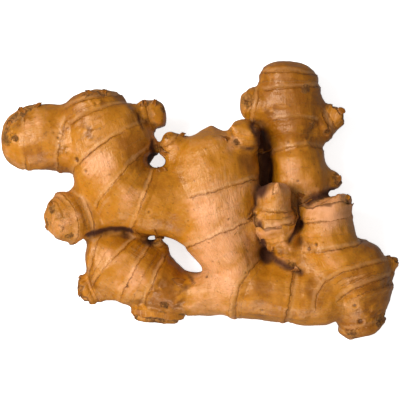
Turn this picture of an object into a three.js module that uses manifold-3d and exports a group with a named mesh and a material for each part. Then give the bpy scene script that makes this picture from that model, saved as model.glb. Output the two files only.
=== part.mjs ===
// A fresh ginger root: the whole rhizome, as dug and washed, lying on a table. Millimetres, +Z up, +X to the
// right and +Y to the top of the root as seen from above. The origin is under its middle, on the table.
//
// A rhizome is a chain of short swollen internodes. Each ends in a leaf-scar ring, the raised line where a
// scale leaf sat, and the side buds at those rings grow into fingers that do the same. So every finger here
// is a turned profile with raised rings, bent along the finger's own curve. All of them are fused, because
// they grew as one piece, and the skin runs in a fillet from each finger into the one that it grew from.

import * as THREE from "three";
import { mergeVertices } from "three/addons/utils/BufferGeometryUtils.js";
import Module from "manifold-3d";

const wasm = await Module();
wasm.setup();

// A leaf-scar ring stands this far out of the skin, and is this wide from its crest to its foot.
const RIM_HEIGHT = 0.8;
const RIM_WIDTH = 1;
// The next internode starts this much thinner than the ring before it.
const RIM_STEP = 0.5;
// How far an internode swells between its rings, as a share of its radius.
const SWELL = 0.03;
// Its uneven growth: waves that go round it so many times, shift so much from row to row and from finger to
// finger, and are this high, as a share of its radius.
const LUMPS = [
  { round: 2, perRow: 0.9, perFinger: 1.3, height: 0.02 },
  { round: 3, perRow: 1.7, perFinger: -2.1, height: 0.02 },
  { round: 5, perRow: -1.1, perFinger: 0.7, height: 0.01 },
];
// The size of the faces, the fewest round a finger, and the rows of them that round off its ends.
const FACE = 5.6;
const FEWEST_SIDES = 12;
const CAP_ROWS = 4;
// The fillet between two fingers reaches this share of the thinner one's half width. It is eased in so
// many passes, each of this strength at the seam, which falls off with the distance to this power.
const FILLET_REACH = 0.5;
const FILLET_PASSES = 10;
const FILLET_EASE = 0.7;
const FILLET_FALLOFF = 1.5;
// The dry remnants of scale leaves: their thickness, the angle by which the tip lifts off the skin, how
// pointed they are, and their facets round the length and along it.
const SCALE_THICKNESS = 1.7;
const SCALE_LIFT = 0.12;
const SCALE_TAPER = 0.45;
const SCALE_SIDES = 6;
const SCALE_ROWS = 4;
// The block that stands for the table in the cut of the flat spots.
const TABLE = { width: 220, depth: 180, thickness: 20 };
// Higher than any part of the root.
const OVERHEAD = 100;
// Vertices closer than this are one.
const SAME_PLACE = 1e-4;

const UP = new THREE.Vector3(0, 0, 1);
const SKIN = new THREE.MeshStandardMaterial({ color: 0xc98a45, roughness: 0.55, metalness: 0 });

// A finger's rows run from its root inside its parent to its tip. Each is the finger's centre x, y, z there,
// its half width and its half height. A row with two more numbers is a leaf-scar ring, and they are how far
// its right side and its top lean towards the tip. root and tip are the lengths of the rounded ends. blunt is
// how they close, from 0.3, square, through 1, round, to 1.5, pointed. rim is the height of its rings where it
// isn't RIM_HEIGHT.
const FINGERS = {
  // The lower body, which ties all the others together, from the lower-left finger to the right lobe.
  body: {
    rows: [
      [-4, -39.8, 15.5, 8.5, 11],
      [8, -38, 16.5, 9.4, 13.5],
      [19, -37.1, 17.5, 12.8, 14.5, -4, -3],
      [27.5, -38, 17.5, 12.9, 14.5],
      [37.5, -38.7, 17.5, 13.4, 15, -1.2, 0.5],
      [48.5, -39.2, 18, 13.7, 15],
      [57, -39, 18, 12, 14],
    ],
    root: 4,
    tip: 6,
  },
  // The thick central stem, which ends in a broad gabled top.
  stem: {
    rows: [
      [17, -34, 17, 10.6, 13],
      [15.3, -25.5, 18, 11.2, 14.5],
      [9.8, -13, 19, 18.2, 16.5, 1.8, 0.4],
      [6.5, 3.5, 19.5, 19.3, 16.5, 1.9, 0.4],
      [4.8, 13, 19.5, 19.8, 16],
      [2.9, 20, 19, 16.1, 14.8],
    ],
    root: 6,
    tip: 9,
    blunt: 1.25,
  },
  // The right lobe, bent like a banana, with both ends showing: a blunt stub above and a knob below.
  right: {
    rows: [
      [68.2, -52, 14, 9.6, 9.5, 2, 0],
      [68, -45.5, 15, 11.3, 12.5],
      [67, -40, 15.5, 14.8, 16, 0, 3.5],
      [62.9, -31, 17.6, 17.3, 16, -1.5, 1],
      [55, -18.8, 21.5, 12.1, 14, -3, 0.5],
      [52.9, -7.5, 23, 10.2, 11, 0.5, 0],
      [52.8, -3.2, 23.5, 10.4, 10, 4, 0],
    ],
    root: 5.5,
    tip: 3.5,
    blunt: 0.5,
  },
  // The left arm, from the stem out to the left and then up into a broad round lobe.
  arm: {
    rows: [
      [0, -6.8, 19, 12.9, 13],
      [-11.5, -1.7, 20, 14, 14],
      [-23.5, -0.4, 20.5, 13.8, 14.5, 0, 0],
      [-32.9, 6.2, 20.5, 17.1, 15.5, 4.5, 2],
      [-36.7, 20.3, 19.5, 19.1, 16, 5, 3],
      [-42, 33.8, 18.2, 14.5, 14.2, 0, 1.5],
      [-45, 40.3, 17.3, 12.5, 12.2, -2.5, 0],
    ],
    root: 6,
    tip: 5.4,
    blunt: 0.75,
  },
  // The thick finger at the far left.
  far_left: {
    rows: [
      [-44, 22, 17, 12, 11.5],
      [-56, 24.8, 16, 13.1, 12, 0, 0],
      [-63.5, 26.6, 14.5, 13.8, 13],
      [-72.5, 25.8, 12.3, 13.1, 12.6, -1, -2.5],
    ],
    root: 4,
    tip: 11.9,
  },
  // The stub that points left and up from under the arm, and ends in a ringed face.
  left_stub: {
    rows: [
      [-42, -1, 17, 10, 11],
      [-49.5, -5.1, 19.5, 11.2, 11, 0, 0],
      [-55.9, -7.4, 23, 11.5, 10.2, 0, 0],
      [-60, -8.4, 25.6, 8, 7.3, 0, 0],
    ],
    root: 4,
    tip: 3,
    blunt: 0.5,
    rim: 0.5,
  },
  // The lower-left finger, which lies on the table beside the arm.
  lower_left: {
    rows: [
      [7, -38, 15, 10, 10.5],
      [-3, -40.5, 14.5, 8.6, 11, -2, 1],
      [-10, -38.8, 14, 9.3, 11.5],
      [-18.4, -34.2, 13.5, 12.2, 12.5, 0, 0],
      [-26.4, -31.2, 13, 14.1, 13.6, -1, 1],
      [-34.6, -26.2, 13, 14.6, 13, -3, 2],
      [-42.4, -21.4, 13, 10.8, 10.5, 3, 1],
    ],
    root: 4,
    tip: 6,
  },
  // The tall finger at the top right, which passes under the front bud and the right lobe.
  top_right: {
    rows: [
      [37, -26, 12, 10, 9],
      [41, -10.5, 12, 11, 10],
      [42.5, 2, 12.5, 12, 11],
      [41.5, 14.5, 13, 11.3, 11.5],
      [40.8, 19.5, 13, 11.2, 12, 0, 2.5],
      [39.5, 30.8, 12.8, 12.5, 13, -1.5, 3],
      [37.7, 46.5, 12.6, 13.3, 13, 0, 0],
      [37.4, 52.6, 12.6, 12.3, 11.4, -1, 0.5],
    ],
    root: 4,
    tip: 5.9,
    blunt: 0.9,
  },
  // The small scaly bud in front, of three short internodes, between the stem and the right lobe.
  front_bud: {
    rows: [
      [42, -28.5, 18, 6, 7],
      [36, -20, 22, 6.5, 8],
      [34, -14, 24.5, 7.5, 8.5, 0, 0],
      [31.5, -8.5, 27, 9.8, 9.5, 0, 0],
      [31.5, -4, 28, 6.8, 8, 0, 0],
      [31.5, 2, 28.5, 7, 7.5],
    ],
    root: 3,
    tip: 5.5,
    rim: 1,
  },
  // The peak of the stem's gabled top.
  stem_peak: {
    rows: [
      [4.8, 20, 17, 10, 12],
      [4.9, 26.5, 17, 5.5, 9],
    ],
    root: 3,
    tip: 5,
    blunt: 1.2,
  },
  // The scaly nubs on the stem's top, one at each side.
  stem_nub: {
    rows: [
      [14, 17.5, 21, 6, 7],
      [18.6, 25.5, 24, 7, 7.4, 0, 0],
      [19, 29, 25, 6.4, 6.2, 0, 0],
    ],
    root: 3,
    tip: 4.5,
    rim: 0.9,
  },
  stem_scale: {
    rows: [
      [-8, 20, 20, 5, 6],
      [-12.3, 24.8, 21.5, 4.6, 4.8, 0, 0],
      [-13.6, 26.6, 22, 3.2, 3.5],
    ],
    root: 3,
    tip: 2.5,
    rim: 0.5,
  },
  // The low swelling that closes the gap between the stem and the top-right finger.
  low_bud: {
    rows: [
      [27, -23.5, 16, 6.8, 8.5],
      [25, -10, 6.5, 6, 5],
      [24.5, 2, 6, 6, 5],
      [26.5, 14, 6, 5.5, 5],
      [25.6, 27.5, 7, 4.5, 5],
    ],
    root: 3,
    tip: 5,
  },
  // The round bud on a neck, on the right of the arm's lobe.
  arm_bud: {
    rows: [
      [-32, 29, 17, 6.5, 7],
      [-26, 32.2, 17.5, 5.3, 6],
      [-20.8, 34.9, 18, 7.2, 7, 0, 0],
      [-17.8, 35.3, 18, 6.6, 6.4],
    ],
    root: 3,
    tip: 4,
    rim: 0.5,
  },
  // The small stub at the left end of the lower-left finger.
  lower_stub: {
    rows: [
      [-38.5, -34.5, 12, 6.5, 6],
      [-45, -36.6, 12, 7, 6.4, 0, 0],
      [-48.3, -38.2, 12, 5.4, 5, 0, 0],
    ],
    root: 3,
    tip: 3,
    rim: 0.8,
  },
  // The nub on the lower-left finger's back, in the gap below the arm.
  gap_nub: {
    rows: [
      [-16.5, -26, 13, 5, 5],
      [-17.8, -20, 13.5, 4.4, 4.5, 0, 0],
    ],
    root: 3,
    tip: 3.5,
    rim: 0.7,
  },
  // The side buds of the top-right finger.
  finger_bud_left: {
    rows: [
      [31.5, 38.4, 14, 9.6, 9],
      [24, 40, 14, 8.8, 7.6, 0, 0],
      [19.8, 40.6, 14, 6.2, 5.6, 0, 0],
    ],
    root: 3,
    tip: 2.8,
    rim: 0.8,
  },
  finger_bud_right: {
    rows: [
      [45, 31, 13, 9.5, 8],
      [53, 33.2, 13, 7.7, 7, 0, 0],
      [57.6, 35.6, 13, 4.6, 5],
    ],
    root: 3,
    tip: 2.9,
    rim: 0.7,
  },
  finger_bud_low: {
    rows: [
      [44.5, 6.5, 12, 6.5, 7],
      [53, 7.4, 12, 5.1, 5, 0, 0],
      [56.8, 8.4, 12, 4, 4],
    ],
    root: 3,
    tip: 3,
    rim: 0.7,
  },
  // The pointed bud at the right edge.
  right_point: {
    rows: [
      [72.5, -34.5, 17, 6, 8],
      [79, -28.5, 18, 3.6, 5, 0, 0],
      [81.7, -25.3, 18, 2, 3],
    ],
    root: 3,
    tip: 2,
    rim: 0.6,
  },
  // The broken stub under the lower-left finger.
  broken_stub: {
    rows: [
      [-17.2, -42.3, 12, 12.4, 8],
      [-17.8, -48.5, 12, 11.6, 6.5, 0, 0],
    ],
    root: 3,
    tip: 3.5,
    blunt: 0.45,
  },
  // The knob at the right lobe's lower end.
  right_knob: {
    rows: [
      [66.5, -48, 14, 6, 7],
      [62.6, -54.3, 13, 5.8, 6.5, 0, 0],
    ],
    root: 3,
    tip: 4,
    blunt: 0.6,
  },
};

// Dry remnants of scale leaves, as seen from above: x, y, the direction that the tip points in as degrees
// from +X towards +Y, the length and the width.
const SCALES = [
  [-16.8, 10.8, 97, 9, 8.5],
  [-12, 17, 140, 11, 7],
  [-22.8, 38.6, 110, 6, 5],
  [24.5, -8.6, 185, 8, 7],
  [32.3, 3, 95, 8, 7],
  [29.8, -18.5, 200, 7, 5],
  [41, -27.5, 45, 7, 5],
  [-6.5, -34.9, 160, 8, 7],
  [15.8, 28.2, 130, 7, 6],
  [21.5, 27, 60, 7, 6],
  [20.5, 36.5, 205, 7, 6],
  [57, 35.4, 35, 7, 6],
  [56.5, 8.7, 10, 6, 5],
  [57, 0, 95, 7, 6],
  [-48, -37.4, 190, 6, 6],
];

// How a finger runs: its centre, the directions across, up and along it, its half width and height, and the
// lean of its rings, for any place counted in rows.
function runOf({ rows }) {
  const last = rows.length - 1;
  const curveOf = (pick) => (
    new THREE.CatmullRomCurve3(rows.map((row) => new THREE.Vector3(...pick(row))))
  );
  const middle = curveOf(([x, y, z]) => [x, y, z]);
  const girth = curveOf(([, , , w, h]) => [w, h, 0]);
  const lean = curveOf(([, , , , , side = 0, top = 0]) => [side, top, 0]);
  return (place) => {
    const t = THREE.MathUtils.clamp(place / last, 0, 1);
    const along = middle.getTangent(t);
    const across = new THREE.Vector3().crossVectors(along, UP).normalize();
    const up = new THREE.Vector3().crossVectors(across, along);
    const centre = middle.getPoint(t);
    return { centre, along, across, up, girth: girth.getPoint(t), lean: lean.getPoint(t) };
  };
}

// The turned profile of a finger: how far out the skin is, where 1 is the plain radius, and the place along
// it in rows. The rounded ends lie past the first and the last row, and are one unit long each.
function turnedProfile({ rows, blunt = 0.8, rim = RIM_HEIGHT }) {
  const last = rows.length - 1;
  const isRing = (i) => rows[i].length > 5;
  const ends = [];
  for (let step = 1; step <= CAP_ROWS; step += 1) {
    const angle = (step / CAP_ROWS) * (Math.PI / 2);
    const radius = step === CAP_ROWS ? 0 : Math.cos(angle) ** blunt;
    ends.push([radius, Math.sin(angle)]);
  }
  const profile = ends.map(([radius, beyond]) => new THREE.Vector2(radius, -beyond)).reverse();
  rows.forEach(([x, y, z, w], i) => {
    profile.push(new THREE.Vector2(1 + (isRing(i) ? rim / w : 0), i));
    if (i === last) return;
    const [nextX, nextY, nextZ] = rows[i + 1];
    const length = Math.hypot(nextX - x, nextY - y, nextZ - z);
    const foot = RIM_WIDTH / length;
    if (isRing(i)) profile.push(new THREE.Vector2(1 - RIM_STEP / w, i + foot));
    const steps = Math.max(1, Math.round(length / FACE));
    for (let step = 1; step < steps; step += 1) {
      const part = step / steps;
      profile.push(new THREE.Vector2(1 + SWELL * Math.sin(Math.PI * part), i + part));
    }
    if (isRing(i + 1)) profile.push(new THREE.Vector2(1, i + 1 - foot));
  });
  ends.forEach(([radius, beyond]) => profile.push(new THREE.Vector2(radius, last + beyond)));
  return profile;
}

// The lathe-turned profile, bent along the finger's run and stretched to its widths.
function bentFinger(finger, number) {
  const { rows, root, tip } = finger;
  const last = rows.length - 1;
  const run = runOf(finger);
  const widest = Math.max(...rows.map(([, , , w]) => w));
  const sides = Math.max(FEWEST_SIDES, Math.round((2 * Math.PI * widest) / FACE));
  const geometry = new THREE.LatheGeometry(turnedProfile(finger), sides);
  const position = geometry.attributes.position;
  for (let i = 0; i < position.count; i += 1) {
    const point = new THREE.Vector3().fromBufferAttribute(position, i);
    const place = point.y;
    const angle = Math.atan2(point.z, point.x);
    const lump = LUMPS.reduce((sum, { round, perRow, perFinger, height }) => (
      sum + height * Math.sin(round * angle + perRow * place + perFinger * number)
    ), 1);
    const { centre, along, across, up, girth, lean } = run(place);
    const past = place > last ? (place - last) * tip : Math.min(place, 0) * root;
    centre.addScaledVector(across, point.x * girth.x * lump);
    centre.addScaledVector(up, point.z * girth.y * lump);
    centre.addScaledVector(along, past + lean.x * point.x + lean.y * point.z);
    position.setXYZ(i, centre.x, centre.y, centre.z);
  }
  return geometry;
}

// A closed geometry as a manifold-3d solid.
function solidOf(geometry) {
  geometry.deleteAttribute("normal");
  geometry.deleteAttribute("uv");
  const merged = mergeVertices(geometry, SAME_PLACE);
  return new wasm.Manifold(new wasm.Mesh({
    numProp: 3,
    vertProperties: merged.attributes.position.array,
    triVerts: new Uint32Array(merged.index.array),
  }));
}

// A manifold-3d mesh as a geometry.
function geometryOf({ vertProperties, triVerts }) {
  return new THREE.BufferGeometry()
    .setAttribute("position", new THREE.BufferAttribute(new Float32Array(vertProperties), 3))
    .setIndex(new THREE.BufferAttribute(new Uint32Array(triVerts), 1));
}

// Fuses the fingers. The seams are the vertices where two of them meet, each with its fillet's reach.
function fuse(fingers) {
  const reachOf = new Map();
  const solids = fingers.map((finger, i) => {
    const solid = solidOf(bentFinger(finger, i + 1));
    const meanHalfWidth = finger.rows.reduce((sum, [, , , w]) => sum + w, 0) / finger.rows.length;
    reachOf.set(solid.getMesh().runOriginalID[0], FILLET_REACH * meanHalfWidth);
    return solid;
  });
  const mesh = wasm.Manifold.union(solids).getMesh();
  const owners = Array.from({ length: mesh.vertProperties.length / 3 }, () => new Set());
  mesh.runOriginalID.forEach((id, run) => {
    for (let corner = mesh.runIndex[run]; corner < mesh.runIndex[run + 1]; corner += 1) {
      owners[mesh.triVerts[corner]].add(id);
    }
  });
  const seams = [];
  owners.forEach((ids, vertex) => {
    if (ids.size < 2) return;
    seams.push({ vertex, reach: Math.min(...[...ids].map((id) => reachOf.get(id))) });
  });
  return { geometry: geometryOf(mesh), seams };
}

// Eases the creases at the seams into fillets, by moving each vertex near one towards the middle of its
// neighbours.
function fillet({ geometry, seams }) {
  const position = geometry.attributes.position;
  const corners = geometry.index.array;
  let points = [];
  const neighbours = [];
  for (let i = 0; i < position.count; i += 1) {
    points.push(new THREE.Vector3().fromBufferAttribute(position, i));
    neighbours.push(new Set());
  }
  for (let i = 0; i < corners.length; i += 3) {
    const [a, b, c] = corners.slice(i, i + 3);
    neighbours[a].add(b).add(c);
    neighbours[b].add(c).add(a);
    neighbours[c].add(a).add(b);
  }
  const share = points.map((point) => {
    const nearness = seams.map(({ vertex, reach }) => 1 - point.distanceTo(points[vertex]) / reach);
    return FILLET_EASE * nearness.reduce((most, near) => Math.max(most, near), 0) ** FILLET_FALLOFF;
  });
  for (let pass = 0; pass < FILLET_PASSES; pass += 1) {
    points = points.map((point, i) => {
      if (share[i] === 0) return point;
      const middle = new THREE.Vector3();
      neighbours[i].forEach((j) => middle.add(points[j]));
      return middle.divideScalar(neighbours[i].size).lerp(point, 1 - share[i]);
    });
  }
  points.forEach((point, i) => position.setXYZ(i, point.x, point.y, point.z));
  return geometry;
}

// The skin's point and outward direction at a place seen from above.
function skinFinder(geometry) {
  const skin = new THREE.Mesh(geometry, SKIN);
  const down = new THREE.Vector3(0, 0, -1);
  return (x, y) => {
    const [hit] = new THREE.Raycaster(new THREE.Vector3(x, y, OVERHEAD), down).intersectObject(skin);
    return { point: hit.point, normal: hit.face.normal };
  };
}

// A scale leaf's remnant: a small pointed flap with its base sunk in the skin.
function scaleLeaf([x, y, degrees, length, width], skinAt) {
  const { point, normal } = skinAt(x, y);
  const heading = THREE.MathUtils.degToRad(degrees);
  const side = new THREE.Vector3(-Math.sin(heading), Math.cos(heading), 0);
  const forward = new THREE.Vector3().crossVectors(side, normal).normalize();
  const out = new THREE.Vector3().crossVectors(forward, side.crossVectors(normal, forward).normalize());
  const leaf = new THREE.SphereGeometry(1, SCALE_SIDES, SCALE_ROWS).rotateX(Math.PI / 2);
  const position = leaf.attributes.position;
  for (let i = 0; i < position.count; i += 1) {
    const ahead = position.getX(i);
    position.setY(i, position.getY(i) * (1 - SCALE_TAPER * ahead));
  }
  return leaf
    .scale(length / 2, width / (2 * (1 + SCALE_TAPER / 2)), SCALE_THICKNESS / 2)
    .translate(length / 4, 0, 0)
    .rotateY(-SCALE_LIFT)
    .applyMatrix4(new THREE.Matrix4().makeBasis(forward, side, out).setPosition(point));
}

const bare = fillet(fuse(Object.values(FINGERS)));
const skinAt = skinFinder(bare);
const scales = SCALES.map((scale) => solidOf(scaleLeaf(scale, skinAt)));
const table = solidOf(new THREE.BoxGeometry(TABLE.width, TABLE.depth, TABLE.thickness)
  .translate(0, 0, -TABLE.thickness / 2));
const grown = wasm.Manifold.union([solidOf(bare), ...scales]);
const rhizome = grown.subtract(table);

const geometry = geometryOf(rhizome.getMesh());
geometry.computeBoundingBox();
const middle = geometry.boundingBox.getCenter(new THREE.Vector3());
geometry.translate(-middle.x, -middle.y, 0);
geometry.computeVertexNormals();
const ginger = new THREE.Mesh(geometry, SKIN);
ginger.name = "ginger_root";
const group = new THREE.Group();
group.add(ginger);

export default group;
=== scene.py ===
import math

import bmesh
import bpy
import numpy as np
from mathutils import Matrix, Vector, noise
from mathutils.bvhtree import BVHTree
from mathutils.kdtree import KDTree


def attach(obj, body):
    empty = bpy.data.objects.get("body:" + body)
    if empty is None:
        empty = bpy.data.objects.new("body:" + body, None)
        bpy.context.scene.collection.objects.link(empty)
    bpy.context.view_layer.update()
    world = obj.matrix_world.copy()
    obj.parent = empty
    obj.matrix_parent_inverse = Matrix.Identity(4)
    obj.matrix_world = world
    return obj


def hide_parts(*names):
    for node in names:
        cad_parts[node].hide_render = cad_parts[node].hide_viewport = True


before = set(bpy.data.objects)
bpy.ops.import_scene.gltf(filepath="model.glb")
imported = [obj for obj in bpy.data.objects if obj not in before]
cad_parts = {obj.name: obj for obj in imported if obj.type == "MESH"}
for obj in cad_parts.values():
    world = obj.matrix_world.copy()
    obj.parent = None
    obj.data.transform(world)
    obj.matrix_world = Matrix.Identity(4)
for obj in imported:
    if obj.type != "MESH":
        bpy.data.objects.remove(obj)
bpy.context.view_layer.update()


# The skin of the ginger root: a thin satin cork layer over fibrous flesh, grown in one piece over every
# finger. It is ringed where scale leaves sat, ribbed lengthwise by its fibres, pitted by old root scars, and
# rough and brown wherever a bud dried up or a finger broke off.
MM = 0.001
# The part's middle lies this far from the place that the fingers' rows are measured from.
ROWS_TO_PART = np.array([0.115, 0.31, 0.0])
UP = np.array([0.0, 0.0, 1.0])
# The fingers, as rows of centre x, y, z, half width and half height in millimetres, from root to tip. A row
# with two more numbers is a leaf-scar ring, with how far its right side and its top lean towards the tip.
FINGERS = {
    "body": [
        (-4, -39.8, 15.5, 8.5, 11),
        (8, -38, 16.5, 9.4, 13.5),
        (19, -37.1, 17.5, 12.8, 14.5, -4, -3),
        (27.5, -38, 17.5, 12.9, 14.5),
        (37.5, -38.7, 17.5, 13.4, 15, -1.2, 0.5),
        (48.5, -39.2, 18, 13.7, 15),
        (57, -39, 18, 12, 14),
    ],
    "stem": [
        (17, -34, 17, 10.6, 13),
        (15.3, -25.5, 18, 11.2, 14.5),
        (9.8, -13, 19, 18.2, 16.5, 1.8, 0.4),
        (6.5, 3.5, 19.5, 19.3, 16.5, 1.9, 0.4),
        (4.8, 13, 19.5, 19.8, 16),
        (2.9, 20, 19, 16.1, 14.8),
    ],
    "right": [
        (68.2, -52, 14, 9.6, 9.5, 2, 0),
        (68, -45.5, 15, 11.3, 12.5),
        (67, -40, 15.5, 14.8, 16, 0, 3.5),
        (62.9, -31, 17.6, 17.3, 16, -1.5, 1),
        (55, -18.8, 21.5, 12.1, 14, -3, 0.5),
        (52.9, -7.5, 23, 10.2, 11, 0.5, 0),
        (52.8, -3.2, 23.5, 10.4, 10, 4, 0),
    ],
    "arm": [
        (0, -6.8, 19, 12.9, 13),
        (-11.5, -1.7, 20, 14, 14),
        (-23.5, -0.4, 20.5, 13.8, 14.5, 0, 0),
        (-32.9, 6.2, 20.5, 17.1, 15.5, 4.5, 2),
        (-36.7, 20.3, 19.5, 19.1, 16, 5, 3),
        (-42, 33.8, 18.2, 14.5, 14.2, 0, 1.5),
        (-45, 40.3, 17.3, 12.5, 12.2, -2.5, 0),
    ],
    "far_left": [
        (-44, 22, 17, 12, 11.5),
        (-56, 24.8, 16, 13.1, 12, 0, 0),
        (-63.5, 26.6, 14.5, 13.8, 13),
        (-72.5, 25.8, 12.3, 13.1, 12.6, -1, -2.5),
    ],
    "left_stub": [
        (-42, -1, 17, 10, 11),
        (-49.5, -5.1, 19.5, 11.2, 11, 0, 0),
        (-55.9, -7.4, 23, 11.5, 10.2, 0, 0),
        (-60, -8.4, 25.6, 8, 7.3, 0, 0),
    ],
    "lower_left": [
        (7, -38, 15, 10, 10.5),
        (-3, -40.5, 14.5, 8.6, 11, -2, 1),
        (-10, -38.8, 14, 9.3, 11.5),
        (-18.4, -34.2, 13.5, 12.2, 12.5, 0, 0),
        (-26.4, -31.2, 13, 14.1, 13.6, -1, 1),
        (-34.6, -26.2, 13, 14.6, 13, -3, 2),
        (-42.4, -21.4, 13, 10.8, 10.5, 3, 1),
    ],
    "top_right": [
        (37, -26, 12, 10, 9),
        (41, -10.5, 12, 11, 10),
        (42.5, 2, 12.5, 12, 11),
        (41.5, 14.5, 13, 11.3, 11.5),
        (40.8, 19.5, 13, 11.2, 12, 0, 2.5),
        (39.5, 30.8, 12.8, 12.5, 13, -1.5, 3),
        (37.7, 46.5, 12.6, 13.3, 13, 0, 0),
        (37.4, 52.6, 12.6, 12.3, 11.4, -1, 0.5),
    ],
    "front_bud": [
        (42, -28.5, 18, 6, 7),
        (36, -20, 22, 6.5, 8),
        (34, -14, 24.5, 7.5, 8.5, 0, 0),
        (31.5, -8.5, 27, 9.8, 9.5, 0, 0),
        (31.5, -4, 28, 6.8, 8, 0, 0),
        (31.5, 2, 28.5, 7, 7.5),
    ],
    "stem_peak": [
        (4.8, 20, 17, 10, 12),
        (4.9, 26.5, 17, 5.5, 9),
    ],
    "stem_nub": [
        (14, 17.5, 21, 6, 7),
        (18.6, 25.5, 24, 7, 7.4, 0, 0),
        (19, 29, 25, 6.4, 6.2, 0, 0),
    ],
    "stem_scale": [
        (-8, 20, 20, 5, 6),
        (-12.3, 24.8, 21.5, 4.6, 4.8, 0, 0),
        (-13.6, 26.6, 22, 3.2, 3.5),
    ],
    "low_bud": [
        (27, -23.5, 16, 6.8, 8.5),
        (25, -10, 6.5, 6, 5),
        (24.5, 2, 6, 6, 5),
        (26.5, 14, 6, 5.5, 5),
        (25.6, 27.5, 7, 4.5, 5),
    ],
    "arm_bud": [
        (-32, 29, 17, 6.5, 7),
        (-26, 32.2, 17.5, 5.3, 6),
        (-20.8, 34.9, 18, 7.2, 7, 0, 0),
        (-17.8, 35.3, 18, 6.6, 6.4),
    ],
    "lower_stub": [
        (-38.5, -34.5, 12, 6.5, 6),
        (-45, -36.6, 12, 7, 6.4, 0, 0),
        (-48.3, -38.2, 12, 5.4, 5, 0, 0),
    ],
    "gap_nub": [
        (-16.5, -26, 13, 5, 5),
        (-17.8, -20, 13.5, 4.4, 4.5, 0, 0),
    ],
    "finger_bud_left": [
        (31.5, 38.4, 14, 9.6, 9),
        (24, 40, 14, 8.8, 7.6, 0, 0),
        (19.8, 40.6, 14, 6.2, 5.6, 0, 0),
    ],
    "finger_bud_right": [
        (45, 31, 13, 9.5, 8),
        (53, 33.2, 13, 7.7, 7, 0, 0),
        (57.6, 35.6, 13, 4.6, 5),
    ],
    "finger_bud_low": [
        (44.5, 6.5, 12, 6.5, 7),
        (53, 7.4, 12, 5.1, 5, 0, 0),
        (56.8, 8.4, 12, 4, 4),
    ],
    "right_point": [
        (72.5, -34.5, 17, 6, 8),
        (79, -28.5, 18, 3.6, 5, 0, 0),
        (81.7, -25.3, 18, 2, 3),
    ],
    "broken_stub": [
        (-17.2, -42.3, 12, 12.4, 8),
        (-17.8, -48.5, 12, 11.6, 6.5, 0, 0),
    ],
    "right_knob": [
        (66.5, -48, 14, 6, 7),
        (62.6, -54.3, 13, 5.8, 6.5, 0, 0),
    ],
}
# How pale the skin is at each of a finger's rows, from 0, deep ochre, to 1, peach. The rest are PLAIN_TONE.
TONES = {
    "body": (0.6, 0.7, 0.45, 0.3, 0.35, 0.45, 0.4),
    "stem": (0.5, 0.85, 0.85, 0.9, 0.45, 0.6),
    "right": (0.3, 0.2, 0.15, 0.2, 0.4, 0.75, 0.9),
    "arm": (0.4, 0.2, 0.35, 0.5, 0.6, 0.3, 0.25),
    "far_left": (0.5, 0.3, 0.3, 0.5),
    "left_stub": (0.3, 0.35, 0.5, 0.6),
    "lower_left": (0.5, 0.45, 0.15, 0.15, 0.5, 0.4, 0.3),
    "top_right": (0.15, 0.2, 0.3, 0.45, 0.3, 0.2, 0.1, 0.2),
    "front_bud": (0.2, 0.35, 0.45, 0.65, 0.6, 0.9),
    "stem_nub": (0.35, 0.3, 0.3),
}
PLAIN_TONE = 0.35
# Where the rings are worn away, as seen from above: x, y and radius, in millimetres, and how much is gone.
WORN_RINGS = [
    (-74, 24, 9, 0.75), (-57, -8, 8, 0.7), (-61, -9, 6, 0.5), (18, 28, 8, 0.7),
    (29, -39, 7, 0.3), (-19, 36, 5, 0.6), (38, 50, 8, 0.3), (38, 38, 7, 0.4),
]
# Patches of painted highlight and painted shade, as seen from above: x, y and radius, in millimetres, and
# how much paler than its finger the skin is painted there, below zero for painted shade.
PAINTED_LIGHT_AREAS = [
    (-26, 21, 9, -0.6), (-41, 14, 8, 0.4), (-28, 1, 6, 0.35), (-69, 21, 5, -0.35), (-68, 33, 6, 0.3),
    (20, 15, 7, -0.45), (20, -2, 6, -0.35), (0, -4, 8, 0.3), (8, -19, 8, 0.3), (2, 12, 7, 0.15),
    (28, -39, 8, -0.15),
    (14, -33, 7, 0.35), (38, 13, 5, 0.4), (36, 32, 6, -0.2), (42, 43, 6, -0.2), (53, 30, 5, -0.3),
    (55, -24, 6, 0.35), (63, -42, 7, 0.25), (47, -38, 7, -0.25), (54, -9, 5, 0.3), (70, -33, 6, -0.2),
    (-26, -33, 6, 0.35), (-38, -24, 5, 0.3), (-14, -42, 6, -0.4), (-33, -17, 5, -0.3), (-53, -8, 5, 0.2),
]
# Patches of fine wrinkles, as seen from above: x, y and radius.
WRINKLED = [
    (-45, 28, 6), (-57, 20, 5), (-57, 28, 4), (-74, 33, 6), (-43, 42, 5), (-23, 34, 4), (-12, 26, 5),
    (-10, -42, 7), (-24, -44, 6), (-17, -35, 5), (31, -14, 7), (35, -22, 6), (45, -20, 5),
    (46, 28, 6), (30, 38, 4), (53, 33, 5), (72, -48, 7), (80, -33, 4), (-58, -8, 5), (-46, -36, 5),
    (52, -2, 6),
]
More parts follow.
